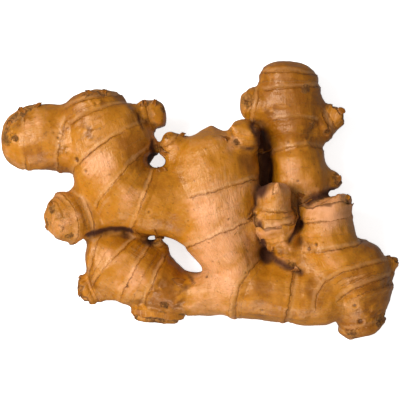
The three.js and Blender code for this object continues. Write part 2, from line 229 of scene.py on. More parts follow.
# Rough brown cork, as seen from above: x, y and radius, in millimetres.
CORK_SPOTS = [
    (-80.5, 27, 5), (-79, 32, 6), (-75.5, 36, 5), (-71, 38.5, 4), (-66.5, 40, 4), (-77, 26, 2.4),
    (-46, 44.5, 4.5), (-41, 44.8, 3.5),
    (-61.5, -3, 4), (-58, -12, 3), (-63.5, -9, 3), (-54, -15, 2.5),
    (-23, 40, 3), (-15, 38, 2.5), (-14, 30.5, 2.5), (-14, 27, 3), (-17.5, 21, 3),
    (-50.5, -38, 5), (-47, -43, 4), (-27, -48, 4), (-18, -50, 7), (-9, -49, 5),
    (-17.8, -17, 3), (-15, -44, 3),
    (15, 24, 2.2), (24, 20, 2.5), (22.5, 29.5, 2),
    (19, 41, 4), (44.5, 46.5, 3), (47.5, 31, 3.4), (59, 37, 4.5), (58, 33, 3),
    (58.5, 9, 4), (53.5, 28.5, 1.6), (31.5, 4, 2.5), (22, -7, 3), (29, -19, 3), (38, -27, 3),
    (50, 0, 3.5), (61, -2, 3), (76, -50, 4.5), (82, -25, 3), (64, -57, 4),
]
# Rings that run on from one finger to the next, as the points x, y of each, seen from above.
RING_ARCS = [
    [(14.9, -49.1), (15.3, -42), (16.6, -36.5), (20.4, -30.2), (24.6, -25.6)],
    [(48.1, -44.1), (48.9, -38.6), (52.3, -34), (59, -30.2), (68.3, -27.7), (75.8, -26)],
    [(58.2, -41.2), (62.4, -37.8), (68.3, -35.3), (77.9, -32.3)],
]
# Lines of painted shade where two fingers press together, each also carved in as a groove, as seen from
# above: the points x, y of each, its width and its depth.
CREVICES = [
    ([(24.5, -9.5), (25, -15), (27, -21), (31, -25), (36, -27.5), (42, -29.8)], 1.6, 0.9),
    ([(41.2, 0), (41.8, -7), (39.8, -13.5), (37.5, -17)], 1.3, 0.8),
    ([(25.5, 28), (26.5, 22), (28, 15), (27, 8), (25, 3)], 3.2, 0.2),
    ([(45, -0.8), (48, 1.4), (52, 2.6), (56, 3.4)], 1.9, 0.9),
    ([(-46.5, -15), (-42.5, -13.4), (-37, -12.4), (-32, -12.4), (-28.5, -13.4)], 1.5, 0.4),
    ([(-19.6, 24.5), (-19.6, 20), (-18.4, 16), (-16.8, 13.4)], 1.3, 0.4),
    ([(23, 33), (21.5, 30.5), (24, 27)], 1.2, 0.5),
    ([(13.2, 27.6), (15.0, 23.5), (19, 21.2), (23, 21.4)], 0.7, 0.5),
    ([(23.6, 2.6), (23.2, -2.6), (21.0, -6.6)], 1.0, 0.6),
    ([(-4.4, -30.8), (-2.4, -35.0), (-6.4, -37.0)], 0.5, 0.2),
    ([(-25.4, 35.6), (-24.6, 32.0), (-23.2, 29.4)], 0.45, 0.3),
    ([(-22.6, 33.4), (-20.6, 31.6), (-17.8, 31.4)], 0.4, 0.3),
]
# The narrow gap between the left lobe and the stem's shoulder, as seen from above. Its walls are eased apart
# by up to WALL_EASE millimetres, less and less as far as WALL_REACH from its line, so that the even faces
# close less of it.
NARROW_GAP = [
    (-14.1, 29.8), (-16.6, 27.7), (-18.3, 24.8), (-18.7, 21.8), (-17.9, 18.5), (-15.8, 15.5), (-13.2, 12.6),
]
WALL_EASE = 1.0
WALL_REACH = 3.5
# Old root scars, small pits with a raised rim, as seen from above: x, y and radius.
PITS = [
    (-76.4, 25.4, 1.2), (-51, 16.8, 1.3), (-59, 26, 0.7), (-58.5, 23, 0.6), (-61, 28, 0.6),
    (45.2, -20.2, 1.1), (48.1, -18.5, 0.9), (67, -50.8, 1.3), (64.5, -43.7, 1),
    (53.6, 28.6, 1.1), (-21, -5, 0.7), (3, -32, 0.8), (-35, -13, 0.8), (12, -8, 0.7),
    (26, -46, 0.8), (-47, 12, 0.8), (37, 24, 0.7), (41, 8, 0.8), (-30, -36, 0.8),
]
MORE_PITS = 22
# The solid's facets are eased away on even faces of this size, each pass of rounding followed by one that
# gives the size back, and each face is then divided in four.
EVEN_FACE = 1.5 * MM
EASING_PASSES = 18
ROUND_OFF = 0.5
GIVE_BACK = -0.53
SAMPLES_PER_ROW = 8
# How far a finger's end is rounded, and how far along the fibres the pattern is moved from one finger to the
# next, in millimetres.
END_ROUNDING = 6
PATTERN_STEP = 97
# How far out from its finger's middle a ring still counts, in half thicknesses of the finger.
RING_REACH = 1.5
# What is kept for points with no ring or pit near them, or no line, in millimetres.
NONE_NEAR = 9.0
NO_LINE = 99.0
# A point is wholly a finger's own when it lies nearer to it than to any other by this much, in half
# thicknesses.
OWN_MARGIN = 0.14


def run_of(rows, places):
    """Where a finger runs at places counted in rows: its centres, its directions and its half sizes."""
    sizes = np.array([row[:5] for row in rows], float)
    centres = sizes[:, :3] + ROWS_TO_PART
    points = np.vstack([2 * centres[0] - centres[1], centres, 2 * centres[-1] - centres[-2]])
    gaps = np.linalg.norm(np.diff(points, axis=0), axis=1)[:, None] ** 0.5
    before, after = gaps[:-1], gaps[1:]
    steps = np.diff(points, axis=0)
    slopes = steps[:-1] / before - (points[2:] - points[:-2]) / (before + after) + steps[1:] / after
    k = np.clip(np.floor(places).astype(int), 0, len(rows) - 2)
    s = (places - k)[:, None]
    start, end = centres[k], centres[k + 1]
    out, back = slopes[k] * gaps[k + 1], slopes[k + 1] * gaps[k + 1]
    centre = (start * (2 * s**3 - 3 * s**2 + 1) + out * (s**3 - 2 * s**2 + s)
              + end * (3 * s**2 - 2 * s**3) + back * (s**3 - s**2))
    along = (start * (6 * s**2 - 6 * s) + out * (3 * s**2 - 4 * s + 1)
             + end * (6 * s - 6 * s**2) + back * (3 * s**2 - 2 * s))
    along /= np.linalg.norm(along, axis=1)[:, None]
    return centre, along, sizes[k, 3:] * (1 - s) + sizes[k + 1, 3:] * s


def axes_of(along):
    """The directions to a finger's right and to its top."""
    across = np.cross(along, UP)
    across /= np.linalg.norm(across, axis=-1)[..., None]
    return across, np.cross(across, along)


def smoothstep(low, high, value):
    share = np.clip((value - low) / (high - low), 0, 1)
    return share * share * (3 - 2 * share)


def noise_at(points, size, seed):
    """Smooth noise from -1 to 1 with lumps of that size, in millimetres."""
    return np.array([noise.noise(Vector(p)) for p in points / size + seed])


def ease_walls_apart(form, line):
    """Moves the walls of a gap away from the line that runs along it, as seen from above."""
    stops = [Vector((x + ROWS_TO_PART[0], y + ROWS_TO_PART[1])) for x, y in line]
    for vertex in form.verts:
        spot = vertex.co.xy / MM
        feet = []
        for start, end in zip(stops[:-1], stops[1:]):
            share = (spot - start).dot(end - start) / (end - start).length_squared
            feet.append(start.lerp(end, min(max(share, 0), 1)))
        away = min((spot - foot for foot in feet), key=lambda offset: offset.length)
        if 0 < away.length < WALL_REACH:
            push = away.normalized() * WALL_EASE * (1 - away.length / WALL_REACH) * MM
            vertex.co.x += push.x
            vertex.co.y += push.y


def merged_copy(node):
    """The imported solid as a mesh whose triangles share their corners."""
    form = bmesh.new()
    form.from_mesh(node.data)
    bmesh.ops.remove_doubles(form, verts=form.verts, dist=1e-6)
    ease_walls_apart(form, NARROW_GAP)
    mesh = bpy.data.meshes.new("ginger_skin")
    form.to_mesh(mesh)
    form.free()
    return mesh


def modified(piece, kind, **settings):
    """The piece's mesh as a modifier makes it."""
    modifier = piece.modifiers.new(kind.title(), kind)
    for setting, value in settings.items():
        setattr(modifier, setting, value)
    evaluated = piece.evaluated_get(bpy.context.evaluated_depsgraph_get())
    mesh = bpy.data.meshes.new_from_object(evaluated)
    piece.modifiers.clear()
    return mesh


def eased(mesh, passes):
    """Rounds off facets without making the form thinner."""
    form = bmesh.new()
    form.from_mesh(mesh)
    for _ in range(passes):
        for factor in (ROUND_OFF, GIVE_BACK):
            bmesh.ops.smooth_vert(form, verts=form.verts, factor=factor,
                                  use_axis_x=True, use_axis_y=True, use_axis_z=True)
    form.to_mesh(mesh)
    form.free()


skin = bpy.data.objects.new("ginger_skin", merged_copy(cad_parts["ginger_root"]))
bpy.context.scene.collection.objects.link(skin)
skin.data = modified(skin, "REMESH", mode="VOXEL", voxel_size=EVEN_FACE)
eased(skin.data, EASING_PASSES)
skin.data = modified(skin, "SUBSURF", levels=1, render_levels=1)


def points_of(mesh):
    """A mesh's vertices in millimetres."""
    flat = np.empty(len(mesh.vertices) * 3, np.float32)
    mesh.vertices.foreach_get("co", flat)
    return flat.reshape(-1, 3).astype(float) / MM


def normals_of(mesh):
    flat = np.empty(len(mesh.vertices) * 3, np.float32)
    mesh.vertex_normals.foreach_get("vector", flat)
    return flat.reshape(-1, 3).astype(float)


def edges_of(mesh):
    flat = np.empty(len(mesh.edges) * 2, np.int32)
    mesh.edges.foreach_get("vertices", flat)
    return flat.reshape(-1, 2)


def spread(values, edges, passes):
    """Values eased from vertex to vertex along the edges."""
    a, b = edges.T
    count = np.bincount(np.r_[a, b], minlength=len(values)).astype(float)
    for _ in range(passes):
        total = np.bincount(np.r_[a, b], weights=np.r_[values[b], values[a]], minlength=len(values))
        values = total / count
    return values


points = points_of(skin.data)
normals = normals_of(skin.data)
edges = edges_of(skin.data)

# Each point belongs to the finger whose own round form it lies on. Its place there gives the way that the
# fibres run, and how far it is from the nearest ring.
nearest = np.full(len(points), np.inf)
second = np.full(len(points), np.inf)
fibre = np.zeros((len(points), 3))
ring_gap = np.full(len(points), NONE_NEAR)
tone_and_painted_light = np.zeros(len(points))
for number, (finger, rows) in enumerate(FINGERS.items()):
    last = len(rows) - 1
    places = np.linspace(0, last, last * SAMPLES_PER_ROW + 1)
    centre, along, girth = run_of(rows, places)
    across, top = axes_of(along)
    lengths = np.r_[0, np.cumsum(np.linalg.norm(np.diff(centre, axis=0), axis=1))]
    squares = ((points**2).sum(1)[:, None] - 2 * points @ centre.T + (centre**2).sum(1)[None, :])
    sample = squares.argmin(1)
    offset = points - centre[sample]
    beyond = (offset * along[sample]).sum(1)
    right = (offset * across[sample]).sum(1)
    high = (offset * top[sample]).sum(1)
    cap = np.where((sample == 0) | (sample == len(places) - 1), beyond, 0) / END_ROUNDING
    reach = np.sqrt((right / girth[sample, 0])**2 + (high / girth[sample, 1])**2 + cap**2)
    mine = reach < nearest
    second = np.where(mine, nearest, np.minimum(second, reach))
    nearest = np.where(mine, reach, nearest)
    fibre[mine] = np.stack([right, high, lengths[sample] + beyond + PATTERN_STEP * number], 1)[mine]
    row_tones = TONES.get(finger, [PLAIN_TONE] * len(rows))
    tone_and_painted_light[mine] = np.interp(places[sample], range(len(rows)), row_tones)[mine]
    gap = np.full(len(points), NONE_NEAR)
    for place, row in enumerate(rows):
        if len(row) == 5:
            continue
        side_lean, top_lean = row[5:]
        ring_centre, ring_along, ring_girth = (value[0] for value in run_of(rows, np.array([float(place)])))
        ring_across, ring_top = axes_of(ring_along)
        offset = points - ring_centre
        x = offset @ ring_across / ring_girth[0]
        z = offset @ ring_top / ring_girth[1]
        out = np.hypot(x, z)
        ring = offset @ ring_along - (side_lean * x + top_lean * z) / np.maximum(out, 0.5)
        closer = (np.abs(ring) < np.abs(gap)) & (out < RING_REACH)
        gap = np.where(closer, ring, gap)
    ring_gap[mine] = gap[mine]
own = smoothstep(0.0, OWN_MARGIN, second - nearest)

skin_tree = BVHTree.FromPolygons(
    [Vector(p) for p in points * MM], [p.vertices[:] for p in skin.data.polygons])
OVERHEAD = 0.2
HALF_WAY_UP = 0.015
FACES_DOWN = -0.3
DOWN = Vector((0, 0, -1))


def from_above(x, y):
    """The skin's point, in millimetres, below a place seen from above."""
    spot = (np.array([x, y, 0]) + ROWS_TO_PART) * MM
    hit = skin_tree.ray_cast(Vector((spot[0], spot[1], OVERHEAD)), DOWN)[0]
    if hit is None:
        hit = skin_tree.find_nearest(Vector((spot[0], spot[1], HALF_WAY_UP)))[0]
    return np.array(hit) / MM


def gap_to_line(line):
    """How far each point of the upper side is from a line seen from above, below zero on the line's right."""
    stops = np.array(line, float) + ROWS_TO_PART[:2]
    gap = np.full(len(points), NO_LINE)
    for start, end in zip(stops[:-1], stops[1:]):
        step = end - start
        offset = points[:, :2] - start
        share = np.clip(offset @ step / (step @ step), 0, 1)
        away = np.linalg.norm(offset - share[:, None] * step, axis=1)
        side = np.sign(step[0] * offset[:, 1] - step[1] * offset[:, 0])
        closer = (away < np.abs(gap)) & (normals[:, 2] > FACES_DOWN)
        gap = np.where(closer, side * away, gap)
    return gap


def patch(x, y, radius, edge):
    """A round patch of skin below a place seen from above, 1 in its middle and 0 outside its soft edge."""
    away = np.linalg.norm(points - from_above(x, y), axis=1)
    return 1 - smoothstep(*edge, away / radius)


def unevenness(layers):
    """Several layers of noise together, each given as its height, the size of its lumps and its seed."""
    return sum(height * noise_at(points, size, seed) for height, size, seed in layers)


# Where the soft edge of each kind of patch begins and ends, in radii of the patch.
WORN_EDGE = (0.6, 1.3)
CORK_EDGE = (0.35, 1.15)
WRINKLED_EDGE = (0.3, 1.2)
PAINTED_LIGHT_EDGE = (0.2, 1.3)
# Layers of unevenness: height and size in millimetres, and seed.
WANDER = [(0.55, 7, 3.1), (0.3, 2.6, 5.2)]
LUMPS = [(0.46, 10, 21.3), (0.3, 4.2, 33.9)]
CORK_LUMPS = [(0.4, 2.3, 51.6), (0.32, 1.1, 63.4)]
# Plain noises: size in millimetres, and seed.
RING_FADING = (10, 8.4)
RING_WRINKLES = (5, 12.7)
FURROWS = (2.4, 41.2)
CREASES = (3.2, 81.4)
FINE_WRINKLES = (1.7, 77.7)
CREVICE_WANDER = (3, 71.3)
# A ring's ridge, the sleeve of skin that rises towards it, and the dip behind it, in millimetres.
RIDGE_HEIGHT, RIDGE_WIDTH = 0.1, 0.6
SLEEVE_HEIGHT, SLEEVE_LENGTH = 0.42, 3.5
DIP_DEPTH, DIP_PLACE, DIP_WIDTH = 0.2, 0.8, 0.9
# The wrinkles just before and after a ring: height, reach, how closely they follow each other, and how far
# they bend.
WRINKLE_HEIGHT, WRINKLE_REACH, WRINKLE_PACE, WRINKLE_BEND = 0.14, 4.0, 3.1, 2.2
# The same for the rings that run on over several fingers, with how far beside them their line counts, and
# how strong it is there at least.
ARC_WANDER = 0.4
ARC_SLEEVE_HEIGHT, ARC_SLEEVE_LENGTH = 0.22, 2
ARC_DIP_DEPTH, ARC_DIP_WIDTH = 0.1, 0.7
ARC_REACH = 2.6
ARC_STRENGTH = 0.75
FURROW_HEIGHT = 0.14
FURROW_STRETCH = np.array([1.0, 1.0, 0.16])
FINE_WRINKLE_HEIGHT = 0.3
CREASE_DEPTH, CREASE_SHARPNESS = 0.28, 3

# A ring line wanders, fades and comes back on its way round.
wander = unevenness(WANDER)
ring_gap = ring_gap + wander
strength = own * (0.5 + 0.5 * smoothstep(-0.45, 0.35, noise_at(points, *RING_FADING)))
for x, y, radius, gone in WORN_RINGS:
    strength *= 1 - gone * patch(x, y, radius, WORN_EDGE)
ridge = np.exp(-(ring_gap / RIDGE_WIDTH)**2)
sleeve = np.exp(ring_gap / SLEEVE_LENGTH) * (ring_gap < 0)
dip = np.exp(-((ring_gap - DIP_PLACE) / DIP_WIDTH)**2)
relief = strength * (RIDGE_HEIGHT * ridge + SLEEVE_HEIGHT * sleeve - DIP_DEPTH * dip)
near_ring = strength * np.exp(-(ring_gap / WRINKLE_REACH)**2)
waves = np.sin(ring_gap * WRINKLE_PACE + WRINKLE_BEND * noise_at(points, *RING_WRINKLES))
relief += WRINKLE_HEIGHT * near_ring * waves
for arc in RING_ARCS:
    gap = gap_to_line(arc) + ARC_WANDER * wander
    relief += (ARC_SLEEVE_HEIGHT * np.exp(gap / ARC_SLEEVE_LENGTH) * (gap < 0)
               - ARC_DIP_DEPTH * np.exp(-(gap / ARC_DIP_WIDTH)**2))
    beside = np.abs(gap) < ARC_REACH
    ring_gap = np.where(beside, gap, ring_gap)
    strength = np.where(beside, np.maximum(strength, ARC_STRENGTH), strength)
# Broad lumps, and shallow lengthwise furrows.
relief += unevenness(LUMPS)
relief += FURROW_HEIGHT * own * noise_at(fibre * FURROW_STRETCH, *FURROWS)

cork = np.zeros(len(points))
for spot in CORK_SPOTS:
    cork = np.maximum(cork, patch(*spot, CORK_EDGE))
wrinkled = np.zeros(len(points))
for spot in WRINKLED:
    wrinkled = np.maximum(wrinkled, patch(*spot, WRINKLED_EDGE))
creases = 1 - np.abs(noise_at(points, *CREASES)) * CREASE_SHARPNESS
relief += wrinkled * (FINE_WRINKLE_HEIGHT * noise_at(points, *FINE_WRINKLES)
                      - CREASE_DEPTH * np.maximum(creases, 0))

# A pit's raised rim and its floor: height or depth, place and width, in radii of the pit, but the rim's
# width in millimetres.
PIT_RIM_HEIGHT, PIT_RIM_PLACE, PIT_RIM_WIDTH = 0.1, 1.6, 0.7
PIT_DEPTH, PIT_WIDTH = 0.5, 0.9
pit_gap = np.full(len(points), NONE_NEAR)
draw = np.random.default_rng(11)
pit_places = [(from_above(x, y), radius) for x, y, radius in PITS]
for choice in draw.choice(len(points), MORE_PITS, replace=False):
    pit_places.append((points[choice], draw.uniform(0.3, 0.7)))
for place, radius in pit_places:
    away = np.linalg.norm(points - place, axis=1)
    pit_gap = np.minimum(pit_gap, away - radius)
    relief += PIT_RIM_HEIGHT * radius * np.exp(-((away - PIT_RIM_PLACE * radius) / PIT_RIM_WIDTH)**2)
    relief -= PIT_DEPTH * radius * np.exp(-(away / (PIT_WIDTH * radius))**2)
relief += cork * unevenness(CORK_LUMPS)

# Crevices are painted with shade. They are where the skin lies well below the average of what is round it,
# and where it is shut in by its neighbours, which is felt out with short rays.
HOLLOW_PASSES = 26
HOLLOW_FELT = 0.02
HOLLOW_SPAN = (0.15, 1.1)
HOLLOW_SHARE = 0.8
SHUT_IN_SPAN = (0.22, 0.62)
SHUT_IN_PASSES = 4
CREVICE_PASSES = 3
TONE_PASSES = 70
GROOVE_EDGE = (0.35, 1.2)
GROOVE_WANDER = 0.5
RELIEF_LOST = 0.6
rounded = np.stack([spread(points[:, i], edges, HOLLOW_PASSES) for i in range(3)], 1)
hollow = ((rounded - points) * normals).sum(1)
RAYS = 14
RAY_LENGTH = 9 * MM
SKIN_CLEARANCE = 0.3 * MM
turns = np.arange(RAYS) * math.pi * (3 - math.sqrt(5))
lifts = np.sqrt((np.arange(RAYS) + 0.5) / RAYS)
dome = np.stack([lifts * np.cos(turns), lifts * np.sin(turns), np.sqrt(1 - lifts**2)], 1)
felt = [i for i in range(len(points)) if hollow[i] > HOLLOW_FELT]
shut_in = np.zeros(len(points))
for i in felt:
    outward = Vector(normals[i])
    start = Vector(points[i] * MM) + outward * SKIN_CLEARANCE
    turn = outward.to_track_quat("Z", "X")
    hits = sum(skin_tree.ray_cast(start, turn @ Vector(ray), RAY_LENGTH)[0] is not None for ray in dome)
    shut_in[i] = hits / RAYS
shut_in = spread(shut_in, edges, SHUT_IN_PASSES)
sunken = spread(smoothstep(*HOLLOW_SPAN, hollow), edges, CREVICE_PASSES) * HOLLOW_SHARE
crevice_shade = np.maximum(sunken, smoothstep(*SHUT_IN_SPAN, shut_in))
groove = np.zeros(len(points))
carved = np.zeros(len(points))
# Each line is painted with shade across its width and carved into the skin to its depth.
for line, width, depth in CREVICES:
    away = np.abs(gap_to_line(line)) + GROOVE_WANDER * noise_at(points, *CREVICE_WANDER)
    inside = 1 - smoothstep(GROOVE_EDGE[0] * width, GROOVE_EDGE[1] * width, away)
    groove = np.maximum(groove, inside)
    carved = np.maximum(carved, depth * inside)
groove, carved = spread(groove, edges, 1), spread(carved, edges, 1)
crevice_shade = np.maximum(crevice_shade, groove)
tone_and_painted_light = spread(tone_and_painted_light, edges, TONE_PASSES)
# Patches of painted highlight and painted shade are laid over the fingers' own tone.
for x, y, radius, lighter in PAINTED_LIGHT_AREAS:
    tone_and_painted_light += lighter * patch(x, y, radius, PAINTED_LIGHT_EDGE)

points += normals * (relief * (1 - RELIEF_LOST * crevice_shade) - carved)[:, None]
points[:, 2] = np.maximum(points[:, 2], 0)
skin.data.vertices.foreach_set("co", (points * MM).astype(np.float32).ravel())
skin.data.polygons.foreach_set("use_smooth", [True] * len(skin.data.polygons))
skin.data.update()


def keep_on_points(mesh, name, values, kind="FLOAT"):
    """Stores one value for each vertex, for the material to read."""
    attribute = mesh.attributes.new(name, kind, "POINT")
    field = "vector" if kind == "FLOAT_VECTOR" else "value"
    attribute.data.foreach_set(field, values.astype(np.float32).ravel())


for name, values in {"ring_gap": ring_gap, "ring_strength": strength, "pit_gap": pit_gap, "cork": cork,
                     "crevice_shade": crevice_shade, "own": own, "wrinkled": wrinkled, "tone_and_painted_light": tone_and_painted_light}.items():
    keep_on_points(skin.data, name, values)
keep_on_points(skin.data, "fibre", fibre, "FLOAT_VECTOR")


class Signal:
    """A value in a material. Sums, differences and products of it add their Math nodes."""

    def __init__(self, finish, socket):
        self.finish = finish
        self.socket = socket

    def math(self, operation, first, second):
        return self.finish.node("ShaderNodeMath", {"operation": operation},
                                {"Value": first, "Value_001": second}, "Value")

    def __add__(self, other):
        return self.math("ADD", self, other)

    __radd__ = __add__

    def __sub__(self, other):
        return self.math("SUBTRACT", self, other)

    def __rsub__(self, other):
        return self.math("SUBTRACT", other, self)

    def __mul__(self, other):
        return self.math("MULTIPLY", self, other)

    __rmul__ = __mul__

    def __abs__(self):
        return self.math("ABSOLUTE", self, 0)


class Finish:
    """A material and the nodes that it is mixed from."""

    def __init__(self, name):
        self.material = bpy.data.materials.new(name)
        self.material.use_nodes = True
        self.tree = self.material.node_tree
        self.shader = self.tree.nodes["Principled BSDF"]

    def node(self, kind, settings, sockets, result):
        made = self.tree.nodes.new(kind)
        for setting, value in settings.items():
            setattr(made, setting, value)
        for socket in made.inputs:
            if socket.identifier in sockets:
                self.feed(socket, sockets[socket.identifier])
        return Signal(self, next(out for out in made.outputs if out.identifier == result))

    def feed(self, socket, value):
        if isinstance(value, Signal):
            self.tree.links.new(value.socket, socket)
        elif socket.type == "RGBA":
            socket.default_value = (*value, 1)
        else:
            socket.default_value = value

    def attribute(self, name, result="Fac"):
        return self.node("ShaderNodeAttribute", {"attribute_name": name}, {}, result)

    def place(self):
        return self.node("ShaderNodeTexCoord", {}, {}, "Object")

    def noise(self, where, scale, detail=3.0, roughness=0.55, distortion=0.0):
        return self.node("ShaderNodeTexNoise", {}, {
            "Vector": where, "Scale": scale, "Detail": detail, "Roughness": roughness,
            "Distortion": distortion}, "Fac")

    def between(self, value, low, high, to_low=0.0, to_high=1.0):
        """A smooth step from to_low, where the value is low, to to_high, where it is high."""
        return self.node("ShaderNodeMapRange", {"interpolation_type": "SMOOTHSTEP"}, {
            "Value": value, "From Min": low, "From Max": high, "To Min": to_low, "To Max": to_high}, "Result")

    def blend(self, share, first, second):
        return self.node("ShaderNodeMix", {"data_type": "RGBA"}, {
            "Factor_Float": share, "A_Color": first, "B_Color": second}, "Result_Color")

    def stretched(self, where, factors):
        return self.node("ShaderNodeVectorMath", {"operation": "MULTIPLY"}, {
            "Vector": where, "Vector_001": factors}, "Vector")

    def bump(self, height, distance):
        return self.node("ShaderNodeBump", {}, {
            "Height": height, "Distance": distance, "Strength": 1.0}, "Normal")

    def set(self, **values):
        for name, value in values.items():
            self.feed(self.shader.inputs[name.replace("_", " ")], value)


# The skin's deep, middle and pale colours. The deep ochre is also painted shade, round the rings and in the
# shaded patches, and the peach, tinted like the gleam on lit crowns, is also painted highlight.
OCHRE_AND_PAINTED_SHADE = (0.275, 0.083, 0.001)
TAN = (0.46, 0.163, 0.005)
PEACH_AND_PAINTED_HIGHLIGHT = (0.68, 0.30, 0.125)
FIBRE_PALE = (0.78, 0.43, 0.19)
RING_BROWN = (0.18, 0.052, 0.002)
CORK_BROWN = (0.13, 0.040, 0.003)
CORK_PALE = (0.40, 0.17, 0.035)
# The near-black purple of the painted shade in crevices and on pit floors.
PAINTED_SHADE_PURPLE = (0.035, 0.004, 0.003)
# The skin's small patterns: scale, detail and roughness, and for the flakes a distortion. The streaks and
# threads run along the fibres and are scaled per millimetre, the others per metre.
BLOTCHES = (48, 4, 0.55)
MOTTLE = (210, 4, 0.6)
FRECKLES = (620, 2, 0.6)
STREAKS = (1.5, 3, 0.6)
THREADS = (4.2, 2, 0.5)
RING_JITTER = (700, 3, 0.6)
RING_DASHES = (520, 3, 0.6)
FLAKES = (150, 6, 0.75, 0.3)
PALE_PATCHES = (75, 3, 0.5)
CORK_GRAIN = (420, 4, 0.7)
CORK_CRUMBS = (800, 4, 0.7)
FIBRE_STRETCH = (1.0, 1.0, 0.09)
TONE_DEEPER = 0.08
# How much of what lies under it each marking hides. The markings in crevices, on pit floors and round rings
# are painted shade, and the one just after each ring is a painted highlight.
COVER = {
    "fibres": 0.5, "threads": 0.35, "freckles": 0.45, "wrinkles": 0.35, "ring_shade": 0.3, "after_ring_highlight": 0.25,
    "pit_rim": 0.1, "pit_floor_shade": 0.65, "cork": 0.7, "flake_edge": 0.45, "crevice_shade": 0.95,
}
BUMP_HEIGHT = 0.35 * MM

satin = Finish("ginger_satin_skin")
place = satin.place()
grain = satin.stretched(satin.attribute("fibre", "Vector"), FIBRE_STRETCH)
blotches = satin.noise(place, *BLOTCHES)
mottle = satin.noise(place, *MOTTLE)
freckles = satin.noise(place, *FRECKLES)
own_share = satin.attribute("own")
streaks = satin.noise(grain, *STREAKS)
threads = satin.noise(grain, *THREADS)
ring_place = satin.attribute("ring_gap") + (satin.noise(place, *RING_JITTER) - 0.5) * 1.3
ring_share = satin.attribute("ring_strength")
line = satin.between(abs(ring_place), 0.1, 0.42, 1.0, 0.0) * ring_share
# A band of painted shade round each ring, and a paler band of painted highlight on the step just after it.
line_shade = satin.between(abs(ring_place), 0.2, 2.0, 1.0, 0.0) * ring_share
after_line_highlight = satin.between(abs(ring_place - 1.3), 0.1, 1.2, 1.0, 0.0) * ring_share
dashes = satin.between(satin.noise(place, *RING_DASHES), 0.4, 0.6)
cork_share = satin.attribute("cork")
flake_noise = satin.noise(place, *FLAKES)
flaky = (satin.between(cork_share + (flake_noise - 0.5) * 5.0, 0.55, 0.95)
         * satin.between(cork_share, 0.0, 0.25))
flake_edge = (satin.between(abs(flake_noise - 0.53), 0.004, 0.03, 1.0, 0.0)
              * satin.between(cork_share, 0.3, 0.8))
pit_place = satin.attribute("pit_gap")
# Painted shade on the floor of each pit.
pit_floor_shade = satin.between(pit_place, -0.5, 0.15, 1.0, 0.0)
pit_rim = satin.between(abs(pit_place - 0.6), 0.1, 0.7, 1.0, 0.0)
# Painted shade in the crevices, where the skin lies low or is shut in by its neighbours.
shade_in_crevices = satin.attribute("crevice_shade")
wrinkle_share = satin.attribute("wrinkled")
wrinkle_shade = satin.between(mottle, 0.42, 0.58)

# The skin's paleness takes in the painted highlights and painted shade that its tone carries.
paleness = (satin.attribute("tone_and_painted_light") * 1.1 + (blotches - 0.5) * 1.3
            + (mottle - 0.5) * (wrinkle_share * 1.2 + 1.1) - TONE_DEEPER)
colour = satin.blend(satin.between(paleness, -0.1, 0.5), OCHRE_AND_PAINTED_SHADE, TAN)
colour = satin.blend(satin.between(paleness, 0.4, 1.15), colour, PEACH_AND_PAINTED_HIGHLIGHT)
pale_patches = (satin.noise(place, *PALE_PATCHES) - 0.5) * 1.6
shown = satin.between(satin.attribute("tone_and_painted_light") + pale_patches, 0.3, 0.85) * own_share
colour = satin.blend(satin.between(streaks, 0.5, 0.8) * shown * COVER["fibres"], colour, FIBRE_PALE)
colour = satin.blend(satin.between(threads, 0.32, 0.5, 1.0, 0.0) * shown * COVER["threads"], colour, OCHRE_AND_PAINTED_SHADE)
colour = satin.blend(satin.between(freckles, 0.62, 0.72) * COVER["freckles"], colour, CORK_BROWN)
colour = satin.blend(wrinkle_share * (1 - wrinkle_shade) * COVER["wrinkles"], colour, CORK_BROWN)
colour = satin.blend(line_shade * COVER["ring_shade"], colour, OCHRE_AND_PAINTED_SHADE)
colour = satin.blend(after_line_highlight * COVER["after_ring_highlight"], colour, FIBRE_PALE)
colour = satin.blend(line * (dashes * 0.55 + 0.4), colour, RING_BROWN)
colour = satin.blend(pit_rim * COVER["pit_rim"], colour, FIBRE_PALE)
colour = satin.blend(pit_floor_shade * COVER["pit_floor_shade"], colour, PAINTED_SHADE_PURPLE)
cork_colour = satin.blend(satin.between(satin.noise(place, *CORK_GRAIN), 0.35, 0.65), CORK_BROWN, CORK_PALE)
colour = satin.blend(flaky * COVER["cork"], colour, cork_colour)
colour = satin.blend(flake_edge * COVER["flake_edge"], colour, CORK_BROWN)
colour = satin.blend(shade_in_crevices * COVER["crevice_shade"], colour, PAINTED_SHADE_PURPLE)
height = ((streaks * 0.7 + threads * 0.5) * (shown * 0.7 + own_share * 0.3)
          + mottle * 1.1 + freckles * 0.35 + line * -0.6)
height = height + flaky * (satin.noise(place, *CORK_CRUMBS) * 2.0 - 0.4) - flake_edge * 0.8
satin.set(Base_Color=colour, Roughness=flaky * 0.28 + mottle * 0.3 + shade_in_crevices * 0.5 + 0.22,
          Normal=satin.bump(height, BUMP_HEIGHT))
satin.shader.inputs["Subsurface Weight"].default_value = 0.12
satin.shader.inputs["Subsurface Radius"].default_value = (1.0, 0.4, 0.15)
satin.shader.inputs["Subsurface Scale"].default_value = 2.5 * MM
satin.shader.inputs["Specular IOR Level"].default_value = 0.6
satin.shader.inputs["Specular Tint"].default_value = (1.0, 0.74, 0.52, 1)
skin.data.materials.append(satin.material)
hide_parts("ginger_root")
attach(skin, "root")


# Torn sheaths: what is left of the scale leaves that wrapped the buds, and the ragged collar round the end
# where a finger broke off the right lobe. They are papery, pale along their fibres and brown at the torn
# edge, and each is fixed round its finger along its lower edge.

